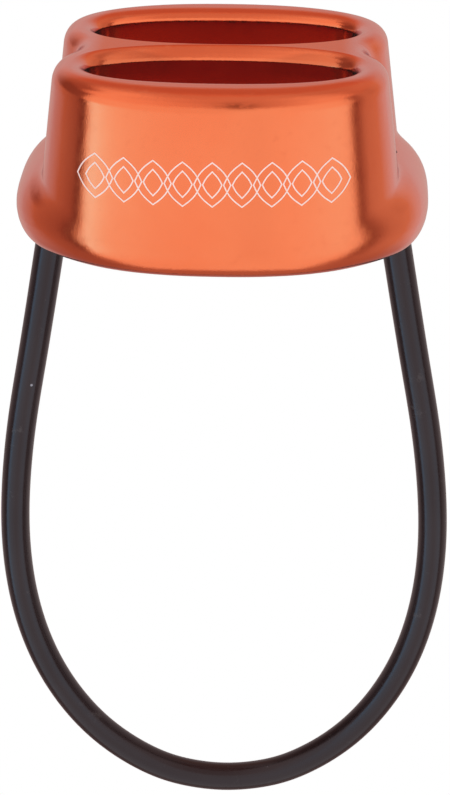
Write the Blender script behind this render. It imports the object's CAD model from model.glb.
"""A belay device: an orange anodised body with two slots, hung on a black keeper loop.

Z is up and z = 0 is the underside of the body. The body is long in X, its front wall faces -Y,
and the cable loop hangs below it in the XZ plane, with its two ends held by steel stops.
Sizes are in millimetres and turn into metres through MM. Shader coordinates are in metres.
"""

import bpy
import bmesh
import math
from bisect import bisect_right
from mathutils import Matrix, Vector


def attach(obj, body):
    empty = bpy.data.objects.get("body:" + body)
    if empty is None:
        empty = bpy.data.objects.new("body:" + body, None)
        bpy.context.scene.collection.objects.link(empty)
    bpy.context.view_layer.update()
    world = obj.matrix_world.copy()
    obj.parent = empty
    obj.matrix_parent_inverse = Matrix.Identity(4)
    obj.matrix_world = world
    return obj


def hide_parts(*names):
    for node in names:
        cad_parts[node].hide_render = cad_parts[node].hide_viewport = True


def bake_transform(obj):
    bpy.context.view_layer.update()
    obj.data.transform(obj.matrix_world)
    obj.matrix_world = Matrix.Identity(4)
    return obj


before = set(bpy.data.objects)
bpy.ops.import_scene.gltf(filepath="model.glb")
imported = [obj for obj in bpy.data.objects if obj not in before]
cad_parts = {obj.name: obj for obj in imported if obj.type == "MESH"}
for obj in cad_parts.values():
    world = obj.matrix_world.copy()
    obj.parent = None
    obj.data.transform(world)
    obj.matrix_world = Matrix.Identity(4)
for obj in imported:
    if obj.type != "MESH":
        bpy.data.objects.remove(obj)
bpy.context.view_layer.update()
MM = 0.001
scene = bpy.context.scene

# ------------------------------------------------------------------ sizes
BODY_H = 23.2
SLOT_PITCH = 15.2
TUBE_HALF_X, TUBE_HALF_Y = 20.36, 12.0  # half sizes of one tube at the rim
TUBE_POWER = 2.3                        # exponent of its superellipse outline
DRAFT_X, DRAFT_Y = 0.121, 0.103         # growth of the half sizes per mm downwards

CABLE_R, BORE_R = 1.92, 1.02
WIRE_R, WIRE_RING_R, WIRE_LAY = 0.32, 0.65, 15.0  # one wire, its helix radius and its pitch
HOLE_X, HOLE_SLOPE = 21.65, 0.170       # cable axis at z = 0, and its outward lean downwards
STRAIGHT_TOP_Z = 13.0
SEAM_Z = -24.0                          # where the side cables meet the lower one

# lengths along the cable, measured up from z = 0
SEAT_S, HOLE_STEP_S = 6.60, 4.40
STOP_L, STOP_GAP = 3.3, 0.02
WIRE_PROUD = 0.25                       # wire standing out above the stop
JACKET_GAP = 0.03

# right half of the loop's axis below the straight part: (x, z)
LOOP_HALF = [
    (22.84, -7.0), (23.35, -10.0), (24.22, -15.0), (25.11, -20.0), (26.02, -25.0),
    (26.84, -30.0), (27.48, -35.0), (27.92, -40.0), (28.10, -45.0), (27.93, -50.0),
    (27.36, -55.0), (26.30, -60.0), (24.62, -65.0), (22.14, -70.0), (20.15, -73.0),
    (17.62, -76.0), (14.75, -78.6), (11.65, -80.75), (8.0, -82.55), (4.0, -83.6),
    (0.0, -83.95)]


# ------------------------------------------------------------------ node helpers
class Value:
    """A number socket; arithmetic on it adds math nodes."""

    def __init__(self, graph, socket):
        self.graph = graph
        self.socket = socket

    def __add__(self, other):
        return self.graph.math("ADD", self, other)

    def __radd__(self, other):
        return self.graph.math("ADD", other, self)

    def __sub__(self, other):
        return self.graph.math("SUBTRACT", self, other)

    def __rsub__(self, other):
        return self.graph.math("SUBTRACT", other, self)

    def __mul__(self, other):
        return self.graph.math("MULTIPLY", self, other)

    def __truediv__(self, other):
        return self.graph.math("DIVIDE", self, other)

    def __abs__(self):
        return self.graph.math("ABSOLUTE", self)


class Graph:
    """Builds the shader node tree of a material or a world, starting from an empty one."""

    def __init__(self, owner):
        owner.use_nodes = True
        self.tree = owner.node_tree
        self.tree.nodes.clear()

    def new(self, kind, inputs=None, **settings):
        node = self.tree.nodes.new(kind)
        for key, setting in settings.items():
            setattr(node, key, setting)
        self.fill(node, inputs or {})
        return node

    def fill(self, node, inputs):
        """Link or set each named or numbered input."""
        for key, value in inputs.items():
            if isinstance(value, Value):
                value = value.socket
            if isinstance(value, bpy.types.NodeSocket):
                self.tree.links.new(value, node.inputs[key])
            else:
                node.inputs[key].default_value = value

    def math(self, operation, *operands, clamp=False):
        node = self.new("ShaderNodeMath", dict(enumerate(operands)),
                        operation=operation, use_clamp=clamp)
        return Value(self, node.outputs[0])

    def ramp(self, value, over, to=(0.0, 1.0)):
        """Smooth step between the two numbers of to; over may run downwards."""
        if over[0] > over[1]:
            over, to = over[::-1], to[::-1]
        node = self.new("ShaderNodeMapRange",
                        {"Value": value, "From Min": over[0], "From Max": over[1],
                         "To Min": to[0], "To Max": to[1]},
                        interpolation_type="SMOOTHSTEP", clamp=True)
        return Value(self, node.outputs["Result"])

    def rise(self, value, start, width):
        """Straight rise from 0 at start to 1 at start + width."""
        return self.math("DIVIDE", value - start, width, clamp=True)

    def spot(self, across, up, centre, radius):
        """Soft oval spot: 1 in the middle, fading to 0."""
        u = (across - centre[0]) / radius[0]
        v = (up - centre[1]) / radius[1]
        return self.math("EXPONENT", (u * u + v * v) * -1.0)

    def blend(self, first, second, amount):
        """Mix of two numbers."""
        node = self.new("ShaderNodeMix", {0: amount, 2: first, 3: second},
                        data_type="FLOAT", clamp_factor=True)
        return Value(self, node.outputs[0])

    def mix(self, first, second, amount, mode="MIX"):
        """Mix of two colours."""
        node = self.new("ShaderNodeMix", data_type="RGBA", blend_type=mode, clamp_factor=True)
        self.fill(node, {0: amount, 6: first, 7: second})
        return node.outputs[2]

    def noise(self, place, scale, detail=2.0, rough=0.5):
        node = self.new("ShaderNodeTexNoise", {"Vector": place, "Scale": scale,
                                               "Detail": detail, "Roughness": rough})
        return Value(self, node.outputs[0])

    def specks(self, place, cells, edge, patches, keep):
        """Round specks, one to a cell, kept only where a patch noise is high."""
        cell = self.new("ShaderNodeTexVoronoi", {"Vector": place, "Scale": cells})
        dots = self.ramp(Value(self, cell.outputs["Distance"]), over=edge)
        return dots * self.ramp(self.noise(place, scale=patches, detail=1.0), over=keep)

    def stretched(self, place, scale):
        return self.new("ShaderNodeMapping", {"Vector": place, "Scale": scale}).outputs[0]

    def axes(self, place):
        node = self.new("ShaderNodeSeparateXYZ", {0: place})
        return [Value(self, socket) for socket in node.outputs]

    def bump(self, height, strength, distance, below=None):
        """Bump laid over the normal below, if there is one."""
        node = self.new("ShaderNodeBump", {"Strength": strength, "Distance": distance,
                                           "Height": height})
        if below is not None:
            self.fill(node, {"Normal": below})
        return node.outputs[0]


def start_material(name):
    """A principled material, with its graph, surface node and object coordinates."""
    material = bpy.data.materials.new(name)
    graph = Graph(material)
    output = graph.new("ShaderNodeOutputMaterial")
    surface = graph.new("ShaderNodeBsdfPrincipled")
    graph.fill(output, {0: surface.outputs[0]})
    return material, graph, surface, graph.new("ShaderNodeTexCoord").outputs["Object"]


# ------------------------------------------------------------------ materials
# bands of noise level that most ramps work over
MIDDLE = (0.3, 0.7)
NARROW = (0.35, 0.65)


def dye_colour(graph, place, broad, fine):
    """Dye with its wear and marks; also gives the mask of rubbed places."""
    noise, ramp, mix = graph.noise, graph.ramp, graph.mix
    dye, light_dye = (0.900, 0.186, 0.066, 1), (0.925, 0.212, 0.080, 1)
    dark_fleck, rubbed = (0.86, 0.165, 0.056, 1), (0.95, 0.27, 0.12, 1)
    dust, smudge = (0.95, 0.55, 0.42, 1), (0.36, 0.055, 0.012, 1)
    divider_grey = (0.80, 0.78, 0.78, 1)
    x, y, z = graph.axes(place)

    tone = mix(dye, light_dye, amount=ramp(broad, over=NARROW))
    tone = mix(tone, dark_fleck, amount=ramp(fine, over=(0.56, 0.78), to=(0.0, 0.35)))
    # thinner dye in rubbed places close to the rim
    wear = noise(place, scale=420.0, detail=4.0, rough=0.7)
    rub = ramp(z, over=(0.0222, 0.0231)) * ramp(wear, over=(0.55, 0.72))
    tone = mix(tone, rubbed, amount=rub * 0.45)
    specks = graph.specks(place, cells=260.0, edge=(0.050, 0.030),
                          patches=310.0, keep=(0.60, 0.66))
    tone = mix(tone, dust, amount=specks * 0.7)
    # a short dark smudge on the front wall, just under the rim
    blot = graph.spot(x, z, centre=(0.0026, 0.02178), radius=(0.0024, 0.00034))
    blot = blot * ramp(y, over=(-0.0150, -0.0165))
    streaks = noise(graph.stretched(place, (900.0, 900.0, 3500.0)),
                    scale=1.0, detail=3.0, rough=0.6)
    blot = blot * ramp(streaks, over=(0.30, 0.55), to=(0.45, 1.0))
    tone = mix(tone, smudge, amount=blot * 0.85)
    # the front edge of the divider is toned down towards its ends
    edge = ramp(y, over=(-0.0046, -0.0038)) * ramp(y, over=(-0.0014, -0.0019))
    edge = edge * (ramp(z, over=(0.0190, 0.0205)) * ramp(z, over=(0.0230, 0.0227)))
    edge = edge * ramp(abs(x), over=(0.001, 0.009), to=(0.62, 1.0))
    return mix(tone, divider_grey, amount=edge, mode="MULTIPLY"), rub


def pale_edges(graph, place, tone):
    """The anodic layer turns pale where it is seen edge on, later along the rim and foot."""
    ramp = graph.ramp
    pale, palest = (0.915, 0.470, 0.440, 1), (0.930, 0.640, 0.620, 1)
    x, y, z = graph.axes(place)
    layer = graph.new("ShaderNodeLayerWeight", {"Blend": 0.5})
    facing = Value(graph, layer.outputs["Facing"])
    rim = ramp(abs(x), over=(0.0172, 0.0145)) * ramp(z, over=(0.0205, 0.0220))
    start = 0.42 + rim * 0.12
    crest = rim * ramp(abs(y), over=(0.0040, 0.0025), to=(0.0, 0.10))
    start = start + (crest + ramp(z, over=(0.0025, 0.0010), to=(0.0, 0.09)))
    tone = graph.mix(tone, pale, amount=graph.rise(facing, start=start, width=0.33))
    last = graph.rise(facing, start=0.64, width=0.22) * (1.0 - rim)
    return graph.mix(tone, palest, amount=last)


def anodised():
    material, graph, surface, place = start_material("anodised_orange_aluminium")
    noise, ramp, bump = graph.noise, graph.ramp, graph.bump
    broad = noise(place, scale=55.0, detail=3.0, rough=0.55)
    fine = noise(place, scale=900.0, detail=3.0, rough=0.6)
    grain = noise(place, scale=5200.0)
    drawn = noise(graph.stretched(place, (2600.0, 2600.0, 55.0)), scale=1.0)
    tone, rub = dye_colour(graph, place, broad, fine)
    rough = ramp(fine, over=MIDDLE, to=(0.110, 0.150)) + ramp(broad, over=MIDDLE, to=(0.0, 0.025))
    normal = bump(drawn, strength=0.10, distance=0.00001)
    normal = bump(grain, strength=0.60, distance=0.000016, below=normal)
    normal = bump(broad, strength=0.10, distance=0.00012, below=normal)
    graph.fill(surface, {
        "Base Color": pale_edges(graph, place, tone),
        "Metallic": 1.0,
        "Roughness": rough + rub * 0.08,
        "Coat Weight": 0.25,
        "Coat IOR": 1.5,
        "Coat Roughness": ramp(fine, over=MIDDLE, to=(0.07, 0.13)),
        "Specular Tint": (1.0, 0.68, 0.60, 1),
        # faint veil of scattered light, seen only in the depths of the slots
        "Emission Color": (0.4, 1.0, 1.0, 1),
        "Emission Strength": 0.004,
        "Normal": normal})
    return material


def jacket_plastic():
    material, graph, surface, place = start_material("black_extruded_jacket")
    noise, ramp, bump = graph.noise, graph.ramp, graph.bump
    black, light_black = (0.0050, 0.0045, 0.0048, 1), (0.0095, 0.0082, 0.0085, 1)
    scuffed, dusty = (0.060, 0.055, 0.053, 1), (0.30, 0.30, 0.33, 1)
    broad = noise(place, scale=70.0, detail=3.0)
    fine = noise(place, scale=2600.0, detail=3.0, rough=0.6)
    scuff = ramp(noise(place, scale=330.0, detail=5.0, rough=0.75), over=(0.60, 0.74)) * 0.55
    dust = graph.specks(place, cells=330.0, edge=(0.075, 0.045),
                        patches=240.0, keep=(0.57, 0.60))
    tone = graph.mix(black, light_black, amount=ramp(broad, over=NARROW))
    tone = graph.mix(tone, scuffed, amount=scuff)
    waves = noise(graph.stretched(place, (420.0, 420.0, 90.0)), scale=1.0, detail=3.0)
    normal = bump(waves, strength=0.20, distance=0.00008)
    normal = bump(fine, strength=0.12, distance=0.00002, below=normal)
    normal = bump(dust, strength=0.5, distance=0.00005, below=normal)
    graph.fill(surface, {
        "Base Color": graph.mix(tone, dusty, amount=dust),
        "Roughness": ramp(fine, over=MIDDLE, to=(0.19, 0.27)) + scuff * 0.25,
        "IOR": 1.50,
        "Specular IOR Level": 0.53,
        "Specular Tint": (1.0, 0.78, 0.84, 1),
        "Normal": normal})
    return material


def steel(name, base, rough, stretch):
    """Steel with drawn lines; stretch is the line scale along x, y and z."""
    material, graph, surface, place = start_material(name)
    ramp = graph.ramp

    def shade(*factors):
        return tuple(part * factor for part, factor in zip(base, factors)) + (1,)

    broad = graph.noise(place, scale=300.0, detail=3.0, rough=0.6)
    lines = graph.noise(graph.stretched(place, stretch), scale=1.0, detail=3.0, rough=0.6)
    tone = graph.mix(shade(0.85, 0.84, 0.82), (*base, 1), amount=ramp(broad, over=MIDDLE))
    graph.fill(surface, {
        "Base Color": graph.mix(tone, shade(0.55, 0.52, 0.48),
                                amount=ramp(lines, over=(0.62, 0.8), to=(0.0, 0.5))),
        "Metallic": 1.0,
        "Roughness": ramp(broad, over=MIDDLE, to=rough),
        "Normal": graph.bump(lines, strength=0.25, distance=0.00002)})
    return material


def etched():
    material, graph, surface, place = start_material("etched_line")
    dark, light = (0.90, 0.62, 0.56, 1), (0.98, 0.74, 0.69, 1)
    fine = graph.noise(place, scale=5000.0, rough=0.6)
    graph.fill(surface, {
        "Base Color": graph.mix(dark, light, amount=graph.ramp(fine, over=MIDDLE)),
        "Roughness": graph.ramp(fine, over=MIDDLE, to=(0.45, 0.65)),
        "Metallic": 0.0,
        "Emission Color": (1.0, 0.80, 0.70, 1),
        "Emission Strength": 0.07,
        "Normal": graph.bump(fine, strength=0.3, distance=0.00001)})
    return material


ORANGE = anodised()
JACKET = jacket_plastic()
STOP_STEEL = steel("swaged_stop_steel", base=(0.62, 0.61, 0.59), rough=(0.24, 0.40),
                   stretch=(3000.0, 3000.0, 160.0))
WIRE_STEEL = steel("drawn_wire_steel", base=(0.60, 0.59, 0.57), rough=(0.20, 0.34),
                   stretch=(4000.0, 4000.0, 300.0))
ETCH = etched()


# ------------------------------------------------------------------ mesh helper
def mesh_object(name, parts, material):
    """One object from closed parts (verts, faces, flat).

    Faces listed in flat are shaded flat, with a hard edge where they meet smooth ones.
    """
    verts, faces, flat = [], [], set()
    for part_verts, part_faces, part_flat in parts:
        first = len(verts)
        flat.update(len(faces) + i for i in part_flat)
        verts += part_verts
        faces += [tuple(first + i for i in face) for face in part_faces]
    mesh = bpy.data.meshes.new(name)
    mesh.from_pydata([(x * MM, y * MM, z * MM) for x, y, z in verts], [], faces)
    mesh.update()
    piece = bpy.data.objects.new(name, mesh)
    scene.collection.objects.link(piece)
    mesh.materials.append(material)
    shell = bmesh.new()
    shell.from_mesh(mesh)
    bmesh.ops.recalc_face_normals(shell, faces=shell.faces)
    for face in shell.faces:
        face.smooth = face.index not in flat
    for edge in shell.edges:
        if len({face.index in flat for face in edge.link_faces}) == 2:
            edge.smooth = False
    shell.to_mesh(mesh)
    shell.free()
    mesh.update()
    return piece


# ------------------------------------------------------------------ cable axis
STRAIGHT_STEPS, CURVE_STEPS = 160, 900
TANGENT_REACH = 3  # path points on either side that set the direction


def clamped_spline(knots, values, start_slope, end_slope, queries):
    """Cubic spline through (knots, values) with given end slopes, at rising queries."""
    gaps = [b - a for a, b in zip(knots, knots[1:])]
    slopes = [(b - a) / gap for a, b, gap in zip(values, values[1:], gaps)]
    slopes = [start_slope, *slopes, end_slope]
    # tridiagonal system for the second derivatives
    below, above = [0.0] + gaps, gaps + [0.0]
    diagonal = [2 * (a + b) for a, b in zip(below, above)]
    right = [6 * (b - a) for a, b in zip(slopes, slopes[1:])]
    for i in range(1, len(knots)):
        weight = below[i] / diagonal[i - 1]
        diagonal[i] -= weight * above[i - 1]
        right[i] -= weight * right[i - 1]
    bend = [0.0] * len(knots)
    bend[-1] = right[-1] / diagonal[-1]
    for i in range(len(knots) - 2, -1, -1):
        bend[i] = (right[i] - above[i] * bend[i + 1]) / diagonal[i]
    result, k = [], 0
    for query in queries:
        while k < len(knots) - 2 and query > knots[k + 1]:
            k += 1
        gap, ahead, behind = gaps[k], knots[k + 1] - query, query - knots[k]
        result.append((bend[k] * ahead ** 3 + bend[k + 1] * behind ** 3) / (6 * gap)
                      + (values[k] / gap - bend[k] * gap / 6) * ahead
                      + (values[k + 1] / gap - bend[k + 1] * gap / 6) * behind)
    return result


def running_lengths(points):
    lengths = [0.0]
    for a, b in zip(points, points[1:]):
        lengths.append(lengths[-1] + math.dist(a, b))
    return lengths


class Path:
    """A planar path in XZ made of short steps."""

    def __init__(self, points):
        self.points = points
        self.runs = running_lengths(points)
        self.length = self.runs[-1]

    def at(self, run):
        """Point and unit tangent at a length along the path."""
        run = min(max(run, 0.0), self.length)
        final = len(self.points) - 1
        k = min(bisect_right(self.runs, run), final) - 1
        part = (run - self.runs[k]) / (self.runs[k + 1] - self.runs[k])
        a, b = self.points[k], self.points[k + 1]
        back = self.points[max(0, k - TANGENT_REACH)]
        ahead = self.points[min(final, k + 1 + TANGENT_REACH)]
        chord = math.dist(back, ahead)
        return ((a[0] + part * (b[0] - a[0]), a[1] + part * (b[1] - a[1])),
                ((ahead[0] - back[0]) / chord, (ahead[1] - back[1]) / chord))

    def run_at_z(self, z):
        """Length along the path where it first crosses level z."""
        k = next(i for i in range(len(self.points) - 1)
                 if (self.points[i][1] - z) * (self.points[i + 1][1] - z) <= 0)
        above, below = self.points[k][1], self.points[k + 1][1]
        return self.runs[k] + (z - above) / (below - above) * (self.runs[k + 1] - self.runs[k])


def half_loop():
    """Right half of the loop, from the top of its straight end down to the middle."""
    drop = STRAIGHT_TOP_Z - LOOP_HALF[0][1]
    levels = [STRAIGHT_TOP_Z - drop * i / STRAIGHT_STEPS for i in range(STRAIGHT_STEPS)]
    straight = [(HOLE_X - HOLE_SLOPE * z, z) for z in levels]
    knots = running_lengths(LOOP_HALF)
    queries = [knots[-1] * i / CURVE_STEPS for i in range(CURVE_STEPS + 1)]
    lean = math.hypot(1.0, HOLE_SLOPE)
    loop_x, loop_z = zip(*LOOP_HALF)
    curve_x = clamped_spline(knots, loop_x, HOLE_SLOPE / lean, -1.0, queries)
    curve_z = clamped_spline(knots, loop_z, -1 / lean, 0.0, queries)
    return straight + list(zip(curve_x, curve_z))


HALF = half_loop()
MIRRORED = [(-x, z) for x, z in HALF]
RIGHT = Path(HALF)
LEFT = Path(MIRRORED)
WHOLE = Path(HALF + MIRRORED[-2::-1])


# ------------------------------------------------------------------ jacket and wire rope
def tube(path, start, end, radius, sides, step, bore=None, phase=None, lead=0.0):
    """A closed tube along the path, or a solid rod when bore is None.

    With a phase it winds round the path in a helix, counted from the length lead.
    """
    count = max(2, math.ceil((end - start) / step))
    neighbours = [(i, (i + 1) % sides) for i in range(sides)]
    verts, faces = [], []

    def add_skin(skin_radius, inward=False):
        first = len(verts)
        for k in range(count + 1):
            run = start + (end - start) * k / count
            (x, z), (along_x, along_z) = path.at(run)
            shift_u = shift_v = 0.0
            if phase is not None:
                angle = phase + 2 * math.pi * (run - lead) / WIRE_LAY
                shift_u, shift_v = WIRE_RING_R * math.cos(angle), WIRE_RING_R * math.sin(angle)
            for i in range(sides):
                angle = 2 * math.pi * i / sides
                u = skin_radius * math.cos(angle) + shift_u
                v = skin_radius * math.sin(angle) + shift_v
                verts.append((x - along_z * u, v, z + along_x * u))
        for k in range(count):
            a, b = first + k * sides, first + (k + 1) * sides
            for i, j in neighbours:
                if inward:
                    i, j = j, i
                faces.append((a + i, a + j, b + j, b + i))
        return first

    outer = add_skin(radius)
    inner = add_skin(bore, inward=True) if bore else None
    first_end = len(faces)
    for k in (0, count):
        a = outer + k * sides
        if inner is None:
            faces.append(tuple(range(a, a + sides)))
        else:
            b = inner + k * sides
            faces += [(a + i, a + j, b + j, b + i) for i, j in neighbours]
    return verts, faces, range(first_end, len(faces))


ROPE_TOP = RIGHT.run_at_z(0.0) - SEAT_S - STOP_GAP - STOP_L - WIRE_PROUD  # same on both sides


def strand(path, start, end):
    """One straight wire with six wound round it."""
    wire = {"radius": WIRE_R, "sides": 10}
    return [tube(path, start, end, step=1.2, **wire)] + [
        tube(path, start, end, step=0.9, phase=math.pi / 3 * k, lead=ROPE_TOP, **wire)
        for k in range(6)]


def fit_cable(piece, replaced):
    """Blend the piece between two joints and put it in place of its CAD nodes."""
    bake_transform(piece)
    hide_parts(*replaced)


def cable(side, path, jacket_start, core_start, end, step, ends):
    """Jacket and wire core of one stretch; ends are the name endings of its CAD nodes."""
    jacket = mesh_object("cable_jacket_" + side, [
        tube(path, jacket_start, end, CABLE_R, sides=48, step=step, bore=BORE_R)], JACKET)
    fit_cable(jacket, ["jacket_" + tail for tail in ends])
    core = mesh_object("cable_core_" + side, strand(path, core_start, end), WIRE_STEEL)
    replaced = [kind + tail for tail in ends for kind in ("core_wire_", "core_strands_")]
    fit_cable(core, replaced)


for side, path in (("left", LEFT), ("right", RIGHT)):
    cable(side, path, jacket_start=path.run_at_z(0.0) - HOLE_STEP_S + JACKET_GAP,
          core_start=ROPE_TOP, end=path.run_at_z(SEAM_Z), step=0.45,
          ends=("end_" + side, "leg_" + side))

seam = WHOLE.run_at_z(SEAM_Z)
cable("lower", WHOLE, jacket_start=seam, core_start=seam, end=WHOLE.length - seam, step=0.6,
      ends=("bow",))


# ------------------------------------------------------------------ carried-over CAD nodes
for node, material in (("belay_body", ORANGE), ("stop_left", STOP_STEEL),
                       ("stop_right", STOP_STEEL)):
    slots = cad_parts[node].data.materials
    slots.clear()
    slots.append(material)


# ------------------------------------------------------------------ etched lines, front wall
LINE_W, LINE_PROUD, LINE_DEPTH = 0.155, 0.012, 0.05
LINE_STEP = 0.35
SLOPE_STEP = 0.02  # offset for measuring the wall's slope
LOZENGE_COUNT, LOZENGE_PITCH = 9, 3.56
LOZENGE_X, LOZENGE_Z = -14.6, 12.35  # centre of the first
# half width, half height and bow of the sides, for the outer and the inner outline
LOZENGE_SIZES = ((2.20, 2.70, 0.30), (1.15, 1.60, 0.12))
LOZENGE_SIDE_STEPS = 10


def wall_y(x, z):
    half_x = TUBE_HALF_X + (BODY_H - z) * DRAFT_X
    half_y = TUBE_HALF_Y + (BODY_H - z) * DRAFT_Y
    return -SLOT_PITCH / 2 - half_y * (1 - abs(x / half_x) ** TUBE_POWER) ** (1 / TUBE_POWER)


def wall_point(x, z, proud):
    """Point on the front wall, moved out along the wall's normal."""
    step = SLOPE_STEP
    slope_x = (wall_y(x + step, z) - wall_y(x - step, z)) / (2 * step)
    slope_z = (wall_y(x, z + step) - wall_y(x, z - step)) / (2 * step)
    normal = Vector((slope_x, -1.0, slope_z)).normalized()
    return tuple(Vector((x, wall_y(x, z), z)) + normal * proud)


def stroke(outline):
    """A thin raised strip round a closed outline of (x, z), with a box section."""
    dense = []
    for a, b in zip(outline, outline[1:] + outline[:1]):
        count = max(1, int(math.dist(a, b) / LINE_STEP))
        dense += [(a[0] + (b[0] - a[0]) * i / count, a[1] + (b[1] - a[1]) * i / count)
                  for i in range(count)]
    total = len(dense)
    verts, faces = [], []
    for i, (x, z) in enumerate(dense):
        before, after = dense[i - 1], dense[(i + 1) % total]
        arriving = Vector((x - before[0], z - before[1])).normalized()
        leaving = Vector((after[0] - x, after[1] - z)).normalized()
        along = (arriving + leaving).normalized()
        miter = 1.0 / along.dot(arriving)
        side_x, side_z = -along[1] * LINE_W * 0.5 * miter, along[0] * LINE_W * 0.5 * miter
        for side, proud in ((1, LINE_PROUD), (-1, LINE_PROUD), (-1, -LINE_DEPTH), (1, -LINE_DEPTH)):
            verts.append(wall_point(x + side * side_x, z + side * side_z, proud))
        a, b = 4 * i, 4 * ((i + 1) % total)
        faces += [(a + k, a + (k + 1) % 4, b + (k + 1) % 4, b + k) for k in range(4)]
    return verts, faces, range(len(faces))


def lozenge(centre_x, centre_z, half_w, half_h, bow):
    """A four-pointed outline with bowed sides."""
    corners = [(half_w, 0), (0, half_h), (-half_w, 0), (0, -half_h)]
    points = []
    for (ax, az), (bx, bz) in zip(corners, corners[1:] + corners[:1]):
        for i in range(LOZENGE_SIDE_STEPS):
            part = i / LOZENGE_SIDE_STEPS
            x, z = ax + (bx - ax) * part, az + (bz - az) * part
            out = math.sin(math.pi * part) * bow / math.hypot(x, z)
            points.append((centre_x + x + x * out, centre_z + z + z * out))
    return points


ornament = mesh_object("etched_border_lines", [
    stroke(lozenge(LOZENGE_X + LOZENGE_PITCH * k, LOZENGE_Z, *size))
    for k in range(LOZENGE_COUNT) for size in LOZENGE_SIZES], ETCH)
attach(ornament, "device")

# ------------------------------------------------------------------ floor, in metres
FLOOR_HALF, FLOOR_Z = 4, -0.16
WHITE = (1.0, 1.0, 1.0, 1)


def floor_material():
    """Plain white from above, clear from below."""
    material = bpy.data.materials.new("pale_floor")
    graph = Graph(material)
    white = graph.new("ShaderNodeEmission", {"Color": WHITE, "Strength": 1.0})
    clear = graph.new("ShaderNodeBsdfTransparent")
    geometry = graph.new("ShaderNodeNewGeometry")
    pick = graph.new("ShaderNodeMixShader", {0: geometry.outputs["Backfacing"],
                                             1: white.outputs[0], 2: clear.outputs[0]})
    graph.new("ShaderNodeOutputMaterial", {0: pick.outputs[0]})
    return material


floor_mesh = bpy.data.meshes.new("studio_floor")
floor_mesh.from_pydata([(x * FLOOR_HALF, y * FLOOR_HALF, FLOOR_Z)
                        for x, y in ((-1, -1), (1, -1), (1, 1), (-1, 1))], [], [(0, 1, 2, 3)])
floor = bpy.data.objects.new("studio_floor", floor_mesh)
scene.collection.objects.link(floor)
floor_mesh.materials.append(floor_material())
for ray in ("diffuse", "glossy", "transmission", "shadow"):
    setattr(floor, "visible_" + ray, False)

# ------------------------------------------------------------------ studio light
# Brightness round the horizon at five heights: (azimuth, brightness). Azimuth is in degrees,
# 0 at the front (-Y) and 90 on the right (+X).
LEVEL = [
    (-180, .56), (-150, .60), (-125, .55), (-110, .53), (-95, .44), (-78, .33), (-73, .17),
    (-68.5, .15), (-64.5, 1.25), (-61, 1.95), (-55, 1.72), (-50, 1.48), (-43, 1.28), (-34, 1.20),
    (-22, 1.13), (-9, 1.05), (-1, 1.0), (9, .96), (25, 1.05), (38, 1.14), (48, 1.20), (57, 1.20),
    (63.5, 1.10), (68, .28), (72, .22), (77, .42), (85, .58), (105, .65), (130, .69), (150, .65),
    (180, .58)]
RAISED = [
    (-180, .61), (-160, .64), (-145, .58), (-130, .42), (-115, .25), (-95, .25), (-80, .26),
    (-74, .28), (-69, 1.0), (-62, 1.03), (-20, 1.0), (-5, .97), (10, .99), (30, 1.02), (62, 1.0),
    (67, .90), (70, .42), (74, .34), (80, .46), (88, .60), (100, .56), (115, .65), (130, .70),
    (150, .65), (165, .63), (180, .61)]
UPPER = [
    (-180, .57), (-150, .56), (-135, .46), (-118, .38), (-94, .36), (-87, .60), (-81, .95),
    (-70, 1.0), (-42, .98), (-28, .93), (-20, .89), (-11, .82), (0, .74), (10, .70), (17, .70),
    (25, .77), (30, .84), (42, .92), (52, .98), (62, .92), (72, .95), (80, .74), (88, .58),
    (110, .65), (140, .66), (180, .57)]
CROWN = [
    (-180, .55), (-150, .62), (-130, .68), (-112, .84), (-90, .96), (-68, 1.0), (-55, .92),
    (-40, .88), (-28, .83), (-17, .76), (-2, .70), (12, .69), (25, .71), (39, .82), (50, .86),
    (60, .89), (75, .82), (90, .70), (105, .58), (130, .62), (155, .60), (180, .55)]
LOWER = [
    (-180, .42), (-150, .36), (-125, .34), (-100, .36), (-82, .34), (-62, .45), (-52, .90),
    (-45, 1.0), (0, 1.0), (45, 1.0), (52, .85), (60, .50), (80, .44), (110, .42), (150, .36),
    (180, .42)]
ZENITH, NADIR = 0.69, 0.47
RING_MAX = 2.0  # ring brightness is stored as a share of this
DEGREES = 57.29578  # in one radian


def ring(graph, turn, stops):
    """Brightness round the horizon; turn goes from 0 to 1 from the back round to the back."""
    node = graph.new("ShaderNodeValToRGB", {0: turn})
    node.color_ramp.interpolation = "LINEAR"
    elements = node.color_ramp.elements
    elements.remove(elements[-1])
    for i, (azimuth, brightness) in enumerate(stops):
        position = (azimuth + 180) / 360
        if i == 0:
            element = elements[0]
            element.position = position
        else:
            element = elements.new(position)
        element.color = (brightness / RING_MAX,) * 3 + (1,)
    split = graph.new("ShaderNodeSeparateColor", {0: node.outputs[0]})
    return Value(graph, split.outputs[0]) * RING_MAX


def sky_brightness(graph, azimuth, elevation):
    turn = (azimuth + 180.0) / 360.0
    value = ring(graph, turn, LEVEL)
    # each layer with the elevations over which it takes over
    for layer, over in ((RAISED, (6.0, 16.0)), (UPPER, (33.0, 45.0)), (CROWN, (52.0, 62.0)),
                        (ZENITH, (68.0, 83.0)), (LOWER, (-28.0, -58.0)), (NADIR, (-66.0, -78.0))):
        if isinstance(layer, list):
            layer = ring(graph, turn, layer)
        value = graph.blend(value, layer, amount=graph.ramp(elevation, over=over))
    # the dark shape of the camera in the middle of the panel
    shape = graph.spot(azimuth, elevation, centre=(4.5, 39.0), radius=(6.5, 2.6))
    return value * (1.0 - shape * 0.25)


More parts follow.
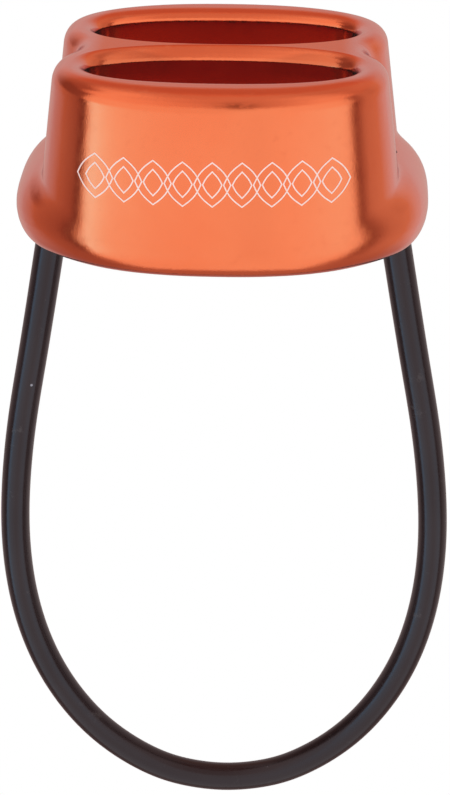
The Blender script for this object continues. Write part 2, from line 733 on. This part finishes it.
def build_world():
    """A large soft panel in front, dimmer all round; the camera itself sees plain white."""
    world = bpy.data.worlds.new("studio")
    scene.world = world
    graph = Graph(world)
    power, ramp, mix = graph.math, graph.ramp, graph.mix
    high_tint, back_tint = (1.0, 0.88, 0.84, 1), (1.0, 0.78, 0.68, 1)
    deep_tint = (0.34, 0.6, 0.9, 1)  # for light after several bounces
    # green and blue channels: powers for brightness under 1 and over 1
    channel_powers = ((1, 1.45, 1.0), (2, 1.50, 1.5))

    x, y, z = graph.axes(graph.new("ShaderNodeTexCoord").outputs["Generated"])
    azimuth = graph.math("ARCTAN2", x, y * -1.0) * DEGREES
    height = graph.math("MINIMUM", graph.math("MAXIMUM", z, -1.0), 1.0)
    elevation = graph.math("ARCSINE", height) * DEGREES
    value = sky_brightness(graph, azimuth, elevation)

    # the dye takes more green and blue out of a weak reflection than out of a strong one
    channels = graph.new("ShaderNodeCombineColor", {0: graph.math("MINIMUM", value, 1.02)})
    for channel, weak_power, strong_power in channel_powers:
        weak = power("POWER", graph.math("MINIMUM", value, 1.0), weak_power)
        strong = power("POWER", graph.math("MAXIMUM", value, 1.0), strong_power)
        graph.fill(channels, {channel: weak * strong})
    tone = mix(channels.outputs[0], high_tint,
               amount=ramp(elevation, over=(28.0, 42.0)), mode="MULTIPLY")
    behind = ramp(abs(azimuth), over=(135.0, 160.0)) * ramp(elevation, over=(24.0, 36.0))
    tone = mix(tone, back_tint, amount=behind, mode="MULTIPLY")
    light_path = graph.new("ShaderNodeLightPath")
    tint = mix(WHITE, deep_tint, amount=ramp(light_path.outputs["Ray Depth"], over=(2.5, 4.0)))
    tone = mix(tone, tint, amount=1.0, mode="MULTIPLY")

    light = graph.new("ShaderNodeBackground", {"Color": tone})
    seen = graph.new("ShaderNodeBackground", {"Color": WHITE, "Strength": 1.0})
    pick = graph.new("ShaderNodeMixShader", {0: light_path.outputs["Is Camera Ray"],
                                             1: light.outputs[0], 2: seen.outputs[0]})
    graph.new("ShaderNodeOutputWorld", {0: pick.outputs[0]})


build_world()
view = scene.view_settings
view.view_transform = "Standard"
view.look = "None"
view.exposure = 0.0
view.gamma = 1.0

# ------------------------------------------------------------------ camera
CAMERA_PLACE = (15.07, -328.73, 127.91)
CAMERA_AIM = (-0.04089, 0.90575, -0.42183)

lens = bpy.data.cameras.new("camera")
camera = bpy.data.objects.new("camera", lens)
scene.collection.objects.link(camera)
lens.sensor_fit = "AUTO"
lens.sensor_width = 36.0
lens.lens = 124.8
lens.clip_start, lens.clip_end = 0.01, 20.0
camera.location = [value * MM for value in CAMERA_PLACE]
camera.rotation_mode = "QUATERNION"
camera.rotation_quaternion = Vector(CAMERA_AIM).to_track_quat("-Z", "Y")
scene.camera = camera
